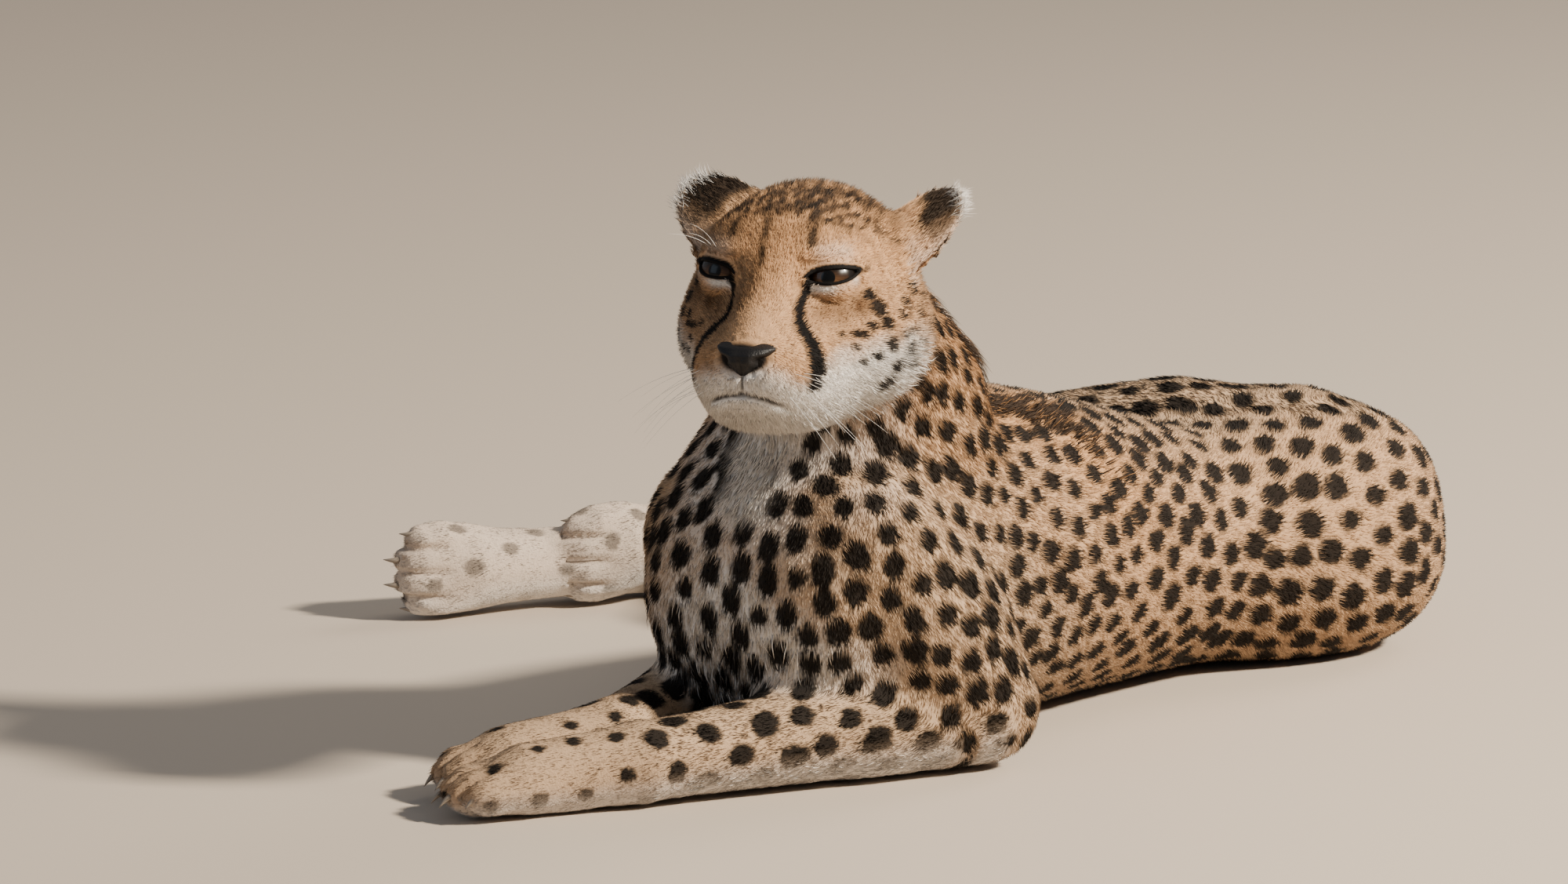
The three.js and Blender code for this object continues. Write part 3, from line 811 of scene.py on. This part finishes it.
made, start, join = material("coat_skin", Roughness=0.8, Specular_IOR_Level=0.12)
coat_colour = start.out("Attribute", {"attribute_name": "coat"})
place_in = start.out("TexCoord", output=3)
grain = start.out("TexNoise", Vector=place_in, Scale=700.0, Detail=3.0)
join(Base_Color=(grain * 0.5 + 0.7).times(coat_colour),
     Normal=start.out("Bump", Height=grain, Strength=0.5, Distance=0.001))
colour_attribute(skin_mesh, colour)
skin = piece("skin", skin_mesh, made)
bpy.context.view_layer.objects.active = skin
skin.select_set(True)
bpy.ops.object.mode_set(mode="EDIT")
bpy.ops.mesh.select_all(action="SELECT")
bpy.ops.uv.smart_project(angle_limit=math.radians(66), island_margin=0.002)
bpy.ops.object.mode_set(mode="OBJECT")
skin_mesh.uv_layers[0].name = "OFBake"
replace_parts(skin, *[n for n in nodes if not n.startswith(("eye", "nose"))])


# ---- Coat --------------------------------------------------------------------
# Tufts stand on the skin, as close as the hair there asks for. Each is a thin closed spike with three sides
# that leaves the skin along the lie of the hair and rises to the coat's outline, in the skin's colour with
# painted shade at its root and painted light at its tip.

length += 5 * bare_throat - 2.2 * under_eye * head_part
skin_mesh.calc_loop_triangles()
triangle_count = len(skin_mesh.loop_triangles)
corner_points = read(skin_mesh.loop_triangles, "vertices", 3, np.int32)
corner_loops = read(skin_mesh.loop_triangles, "loops", 3, np.int32)
skin_uv = read(skin_mesh.uv_layers["OFBake"].data, "uv", 2)
first, second, third = points[corner_points].transpose(1, 0, 2)
areas = np.linalg.norm(np.cross(second - first, third - first), axis=1) / 2
bald = (lid_zone * on_face > 0.25) | is_rim | (from_nose < 0.98) | (lip > 0.6) | (points[:, 2] < 0.0012)
no_hair = bald[corner_points].any(axis=1)
buried, off_floor, half_patch = 0.0006, 0.0004, 0.0015


def grow(name, starts, density, long=1.0, rise=1.0, thick=1.0, bends=False, where=None, hue=None,
         sideways=0.16):
    """Tufts on the parts whose names begin as given, so many to a square centimetre.

    long, rise and thick multiply the hair's own length, lift and girth. Tufts that bend have a joint halfway.
    where is each place's share of them, and hue a colour of their own.
    """
    weight = areas * in_region(*starts)[corner_points[:, 0]] * ~no_hair
    if where is not None:
        weight *= where[corner_points].mean(axis=1)
    number = int(weight.sum() * 1e4 * density)
    chosen = chance.choice(triangle_count, number, p=weight / weight.sum())
    share = chance.random((number, 2))
    over = share.sum(axis=1) > 1
    share[over] = 1 - share[over]
    share = np.c_[share, 1 - share.sum(axis=1)]

    def at_root(values):
        return (values[corner_points[chosen]] * share[:, :, None]).sum(axis=1)

    root, out, along, tint = at_root(points), unit(at_root(normals)), at_root(lie), at_root(colour)
    size, angle, wide = at_root(np.c_[length * long / 1000, lift * rise, girth * thick / 1000]).T
    uv = (skin_uv[corner_loops[chosen]] * share[:, :, None]).sum(axis=1)
    aside = unit(np.cross(out, along))
    swirl = sideways * (0.5 * waves(root, 0.012, 5) + chance.normal(0, 0.7, number))
    along = unit(along + aside * swirl[:, None])
    size *= chance.uniform(0.8, 1.15, number)
    angle = np.clip(angle * chance.uniform(0.55, 1.35, number) + 0.04 * waves(root, 0.01, 6), 0.08, 0.9)
    heading = unit(along + out * angle[:, None])
    aside = unit(np.cross(out, heading))
    over_top = np.cross(heading, aside)
    base = root - out * buried
    tuft = []
    for t, narrow in ((0, 1), (0.5, 0.75))[:1 + bends]:
        heart = base + heading * (size * t)[:, None] - out * (size * 0.10 * t * t)[:, None] * bends
        for a, b in ((-0.5, 0), (0.5, 0), (0, 0.42)):
            tuft.append(heart + (aside * a + over_top * b) * (wide * narrow)[:, None])
    tuft.append(base + heading * size[:, None] - out * (size * 0.22 * bends)[:, None])
    stack = np.stack(tuft, axis=1)
    per = len(tuft)
    stack[:, :, 2] = np.maximum(stack[:, :, 2], off_floor * (1 + 0.5 * np.arange(per)))
    sides = ((0, 1), (1, 2), (2, 0))
    faces = [(0, 2, 1)]
    if bends:
        for a, b in sides:
            faces += [(a, b, 3 + b), (a, 3 + b, 3 + a)]
    faces += [(per - 4 + a, per - 4 + b, per - 1) for a, b in sides]
    loops = (np.arange(number)[:, None, None] * per + np.array(faces)).reshape(-1)
    mesh = bpy.data.meshes.new(name)
    mesh.vertices.add(number * per)
    mesh.vertices.foreach_set("co", stack.astype(np.float32).ravel())
    mesh.loops.add(len(loops))
    mesh.loops.foreach_set("vertex_index", loops.astype(np.int32))
    mesh.polygons.add(len(loops) // 3)
    mesh.polygons.foreach_set("loop_start", np.arange(0, len(loops), 3, dtype=np.int32))
    mesh.update(calc_edges=True)
    root_patch = [(-1, -1), (1, -1), (0, -1 / 3)]
    patch = half_patch * np.array(root_patch + [(u * 0.6, 0) for u, _ in root_patch] * bends + [(0, 1)])
    if hue is not None:
        tint = np.tile(hue, (number, 1))
    own_uv = np.clip(uv[:, None, :] + patch, 0, 1).reshape(-1, 2)
    layer = mesh.uv_layers.new(name="OFBake")
    layer.data.foreach_set("uv", own_uv[loops].astype(np.float32).ravel())
    tone = (chance.uniform(0.72, 1.18, number) * (1 + 0.10 * waves(root, 0.006, 8)))[:, None]
    # Painted shade and light along each tuft: darker at the root, deep in the coat, and lighter at the tip.
    root_shade_levels = [0.74] * 3 + [0.95] * 3 * bends + [1.14]
    tones = np.stack([tint * tone * level for level in root_shade_levels], axis=1).reshape(-1, 3)
    colour_attribute(mesh, np.clip(tones, 0.003, 0.95))
    piece(name, mesh, coat_material)


coat_material, start, join = material("coat", Roughness=0.7, Specular_IOR_Level=0.14)
join(Base_Color=start.out("Attribute", {"attribute_name": "coat"}))
face_hair = (place[:, 1] > 20).astype(float)
grow("coat_face", ("head",), 110, where=face_hair)
grow("coat_crown", ("head",), 44, where=1 - face_hair)
for name, density, *starts in (
        ("ears", 60, "ear"), ("neck", 36, "neck"), ("chest", 31, "chest"), ("belly", 33, "belly"),
        ("rump", 34, "rump"), ("upper_arms", 36, "upper_arm"), ("forelegs", 45, "forearm", "forepaw"),
        ("thighs", 34, "thigh"), ("hind_legs", 35, "shank", "hind_foot"), ("tail", 26, "tail")):
    grow("coat_" + name, tuple(starts), density)

# Long hair: the crest of dark and orange hair along nape and back, the ruff under the cheeks, the white
# fringes of the ears, the bib of the chest and the feathering under the forearms.
trunk_parts = ("neck", "chest", "belly", "rump")
grow("crest_dark", trunk_parts, 24, long=3.1, rise=1.3, thick=0.9, bends=True, where=crest_share,
     hue=(0.045, 0.028, 0.018))
grow("crest_orange", trunk_parts, 4, long=3.2, rise=1.3, thick=0.6, bends=True, where=crest_share,
     hue=orange * 0.6)
jaw_line = [(30, 70, -56), (48, 50, -50), (64, 18, -38), (70, -12, -24)]
ruff = (1 - cheek_spots) * (1 - spot) * np.exp(-(to_line(side_place, jaw_line)[0] / 9) ** 2)
grow("ruff", ("head", "neck"), 20, long=1.5, rise=1.2, bends=True, where=ruff, hue=white)
grow("ear_fringe", ("ear",), 75, long=2.0, rise=0.8, thick=0.55, bends=True, where=fringe, hue=white,
     sideways=0.4)
bib = breast * in_region("chest") * fall(points[:, 2], 0.08, 0.13)
grow("bib", ("chest",), 4, long=2.2, rise=1.1, bends=True, where=bib, sideways=0.3)
feather = inner * in_region("forearm")
grow("feathering", ("forearm",), 11, long=1.7, bends=True, where=feather, sideways=0.3)


# ---- Eyes --------------------------------------------------------------------
# Each is a whole ball with the cornea standing out a little, wet, with a round pupil in an amber iris whose
# top is darkened by a painted shadow of the upper lid. They are set in the sockets, and look a little
# outwards as the animal's own do.

eye_colour, start, join = material("eye", Roughness=0.25, Coat_Weight=0.2, Coat_Roughness=0.03,
                                   Specular_IOR_Level=0.2)
plane = start.out("Attribute", {"attribute_name": "iris"}, 1)
ray = start.out("VectorMath", {"operation": "LENGTH"}, 1, _0=plane)
turned = start.out("VectorMath", {"operation": "NORMALIZE"}, _0=plane)
fibres = start.out("TexNoise", Vector=turned, Scale=9.0, Detail=4.0)
amber = (fibres * 0.8 + ray * 0.05).ramp(0.3, 1.1).between((0.13, 0.065, 0.030, 1), (0.045, 0.020, 0.009, 1))
iris = ray.ramp(11.6, 13.2).between(amber, (0.008, 0.006, 0.005, 1))
# Painted shadow of the upper lid: the iris darkens towards its top.
lid_shadow = start.out("SeparateXYZ", output=1, Vector=plane).ramp(-3.5, 6.0)
iris = lid_shadow.between(iris, (0.006, 0.004, 0.003, 1))
join(Base_Color=ray.ramp(4.0, 4.8).between((0.002, 0.002, 0.002, 1), iris))
rings, around = 48, 64
bulge, bulge_angle = 0.8, 0.62
for side, flip in (("left", left), ("right", right)):
    look = gaze * flip
    right_of = unit(np.cross(look, (0, 0, 1)))
    above = np.cross(right_of, look)
    places, planes = [], []
    for i in range(rings + 1):
        angle = math.pi * (i / rings) ** 1.3
        radius = eye_radius + bulge * max(0, 1 - (angle / bulge_angle) ** 2) ** 1.5
        for turn in np.arange(around) * 2 * math.pi / around:
            flat = right_of * math.cos(turn) + above * math.sin(turn)
            places.append(eye_at * flip + (look * math.cos(angle) + flat * math.sin(angle)) * radius)
            ray_length = eye_radius * (math.sin(angle) if angle < math.pi / 2 else 1)
            planes.append((math.cos(turn) * ray_length, math.sin(turn) * ray_length, 0))
    mesh = bpy.data.meshes.new("eyeball_" + side)
    starts = [(i * around, j, (j + 1) % around) for i in range(rings) for j in range(around)]
    quads = [(i + j, i + k, i + around + k, i + around + j) for i, j, k in starts]
    mesh.from_pydata([tuple(p) for p in off_head(places)], [], quads)
    held = mesh.attributes.new("iris", "FLOAT_VECTOR", "POINT")
    held.data.foreach_set("vector", np.array(planes, np.float32).ravel())
    ball = bmesh.new()
    ball.from_mesh(mesh)
    bmesh.ops.remove_doubles(ball, verts=ball.verts, dist=1e-6)
    bmesh.ops.recalc_face_normals(ball, faces=ball.faces)
    ball.to_mesh(mesh)
    ball.free()
    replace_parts(piece("eyeball_" + side, mesh, eye_colour), "eye_" + side)


# ---- Nose --------------------------------------------------------------------
# A pad of bare black skin, wide above and narrow below, with a comma of a nostril at each side and the
# groove that runs down to the lip. Lofted from level to level, with its back buried in the muzzle.


def loft(made, rows):
    """Adds a closed body to a mesh in the making: rows of points joined one to the next, with flat ends."""
    rows = [[made.verts.new(p) for p in row] for row in rows]
    for row, after in zip(rows, rows[1:]):
        for j in range(len(row)):
            k = (j + 1) % len(row)
            made.faces.new((row[j], row[k], after[k], after[j]))
    made.faces.new(rows[0][::-1])
    made.faces.new(rows[-1])


def mesh_of(name, made):
    """The finished mesh, with its faces turned out."""
    bmesh.ops.recalc_face_normals(made, faces=made.faces)
    mesh = bpy.data.meshes.new(name)
    made.to_mesh(mesh)
    made.free()
    return mesh


nose_levels = np.linspace(-31, -6.5, 44)
nose_half = np.interp(nose_levels, (-31, -29, -26, -23, -20, -17, -14, -11, -8.5, -6.5),
                      (2.0, 4.2, 7.4, 11.2, 16.0, 19.6, 21.0, 20.6, 18.2, 13))
nose_front = np.interp(nose_levels, (-31, -28, -24, -20, -15, -11, -8, -6.5),
                       (108, 112.5, 116, 118.5, 118.5, 115.5, 108.5, 99))
nose_back = 92
arc = np.linspace(-1, 1, 60) * math.pi / 2
places = []
for level, half, front in zip(nose_levels, nose_half, nose_front):
    for a in arc:
        places.append((half * math.sin(a), nose_back + (front - nose_back) * math.cos(a) ** 0.55, level))
places = np.array(places)
pit, along_pit = to_line(mirrored(places) * (1, 0, 1), [(11.5, 0, -19), (15.5, 0, -17), (21, 0, -13)])
places[:, 1] -= 7.0 * np.exp(-(pit / (2.5 - 1.2 * along_pit)) ** 2) * (places[:, 1] > 95)
places[:, 1] -= 1.4 * np.exp(-(places[:, 0] / 0.9) ** 2) * ramp(-places[:, 2], 15, 22)
places[:, 1] += 0.9 * np.exp(-((abs(places[:, 0]) - 6) / 4) ** 2) * ramp(-places[:, 2], 8, 16)
pad = bmesh.new()
loft(pad, off_head(places).reshape(len(nose_levels), len(arc), 3))
bmesh.ops.smooth_vert(pad, verts=pad.verts, factor=0.5, use_axis_x=True, use_axis_y=True, use_axis_z=True)
leather, start, join = material("nose_leather", Base_Color=(0.006, 0.0055, 0.006, 1), Roughness=0.5,
                                Specular_IOR_Level=0.3)
place_in = start.out("TexCoord", output=3)
pebbles = start.out("TexVoronoi", Vector=place_in, Scale=900.0)
join(Normal=start.out("Bump", Height=pebbles, Strength=0.45, Distance=0.0004))
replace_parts(piece("nose_pad", mesh_of("nose_pad", pad), leather), "nose")


# ---- Whiskers ----------------------------------------------------------------
# Stiff white hairs from the pads beside the nose, and a few over the eyes, each a thin tube that tapers
# and droops.


def tube(made, path, radii, sides):
    """Adds a closed tapering tube along a path to a mesh in the making."""
    last = len(path) - 1
    rows = []
    for k, radius in enumerate(radii):
        step = unit(path[min(k + 1, last)] - path[max(k - 1, 0)])
        one = unit(np.cross(step, (0.3, 0.2, 0.93)))
        two = np.cross(step, one)
        rows.append([path[k] + (one * math.cos(a) + two * math.sin(a)) * radius
                     for a in np.arange(sides) * 2 * math.pi / sides])
    loft(made, rows)


def whisker(root, way, spread, sizes, droop, thick, steps):
    """One hair from its root in the head's millimetres, the way it points and how far it sinks at its tip."""
    way = unit(np.array(way) + chance.normal(0, spread, 3))
    size = chance.uniform(*sizes)
    t = np.linspace(-0.04, 1, steps)[:, None]
    path = np.array(root) + way * size * t + np.array(droop) * size * t * t
    tube(hairs, off_head(path * flip), np.linspace(*thick, steps), 5)


whisker_white, start, join = material("whisker", Base_Color=(0.82, 0.79, 0.74, 1), Roughness=0.4)
hairs = bmesh.new()
for flip in (left, right):
    for row in range(4):
        for k in [k for k in range(1, 5) if (k + row) % 3 > 0]:
            above = -4.8 * row - 0.6 * k
            root = (24 + 3.4 * k, 106 - 4.6 * k, above - 25)
            way = (0.9, 0.17 - 0.002 * above, -0.15 + 0.022 * above)
            whisker(root, way, 0.14, (28, 60), (0, -0.24, -0.24), (0.00022, 0.00005), 10)
    for k in range(3):
        whisker((38 + 4 * k, 58 - 4 * k, 46), (0.35 + 0.1 * k, 0.5, 0.75), 0.08, (22, 34), (0.15, 0, -0.3),
                (0.00016, 0.00004), 8)
piece("whiskers", mesh_of("whiskers", hairs), whisker_white)


# ---- Claws -------------------------------------------------------------------
# Blunt dog-like claws of brown horn that stay out, one at the end of each toe. Each is a tapering tube with
# its root in the toe, and curves down towards the sole.

horn, start, join = material("claw", Base_Color=(0.22, 0.18, 0.14, 1), Roughness=0.4)
claw_length, claw_drop, claw_radius = 0.0095, 0.006, 0.0024
claws = bmesh.new()
for tip, ahead, across, sole, spread in toe_places:
    for toe in (-1.5, -0.5, 0.5, 1.5):
        begin = tip + across * toe * spread - ahead * (0.020 if abs(toe) > 1 else 0.008) - sole * 0.001
        t = np.linspace(0, 1, 8)[:, None]
        path = begin + ahead * claw_length * t + sole * claw_drop * t * t
        path[:, 2] = np.maximum(path[:, 2], claw_radius)
        tube(claws, path, claw_radius * (1 - np.linspace(0, 0.96, 8) ** 1.6), 8)
piece("claws", mesh_of("claws", claws), horn)


# ---- Floor and light ---------------------------------------------------------
# A plain sandy floor that the animal lies on, a warm sun at its left, a cool light from the sky in front
# and a little warm light from behind.

floor_mesh = bpy.data.meshes.new("floor")
floor_mesh.from_pydata([(-30, -30, 0), (30, -30, 0), (30, 30, 0), (-30, 30, 0)], [], [(0, 1, 2, 3)])
floor = to_object("floor", floor_mesh)
ground, start, join = material("floor", Base_Color=(0.50, 0.42, 0.34, 1), Roughness=0.9)
floor_mesh.materials.append(ground)

world = bpy.data.worlds.new("world")
bpy.context.scene.world = world
world.use_nodes = True
sky = world.node_tree.nodes["Background"].inputs
sky["Color"].default_value = (0.78, 0.82, 0.90, 1)
sky["Strength"].default_value = 0.27


def lamp(name, place, size, power, colour):
    data = bpy.data.lights.new(name, "AREA")
    data.size = size
    data.energy = power
    data.color = colour
    made = to_object(name, data)
    made.location = place
    made.rotation_mode = "QUATERNION"
    made.rotation_quaternion = (Vector((0, -0.1, 0.2)) - Vector(place)).to_track_quat("-Z", "Y")


lamp("key", (3.3, 0.7, 2.7), 0.4, 520, (1.0, 0.90, 0.76))
lamp("fill", (-1.8, -3.4, 1.6), 2.5, 20, (0.66, 0.82, 1.0))
lamp("rim", (0.5, 3.0, 2.2), 1.5, 50, (1.0, 0.92, 0.80))
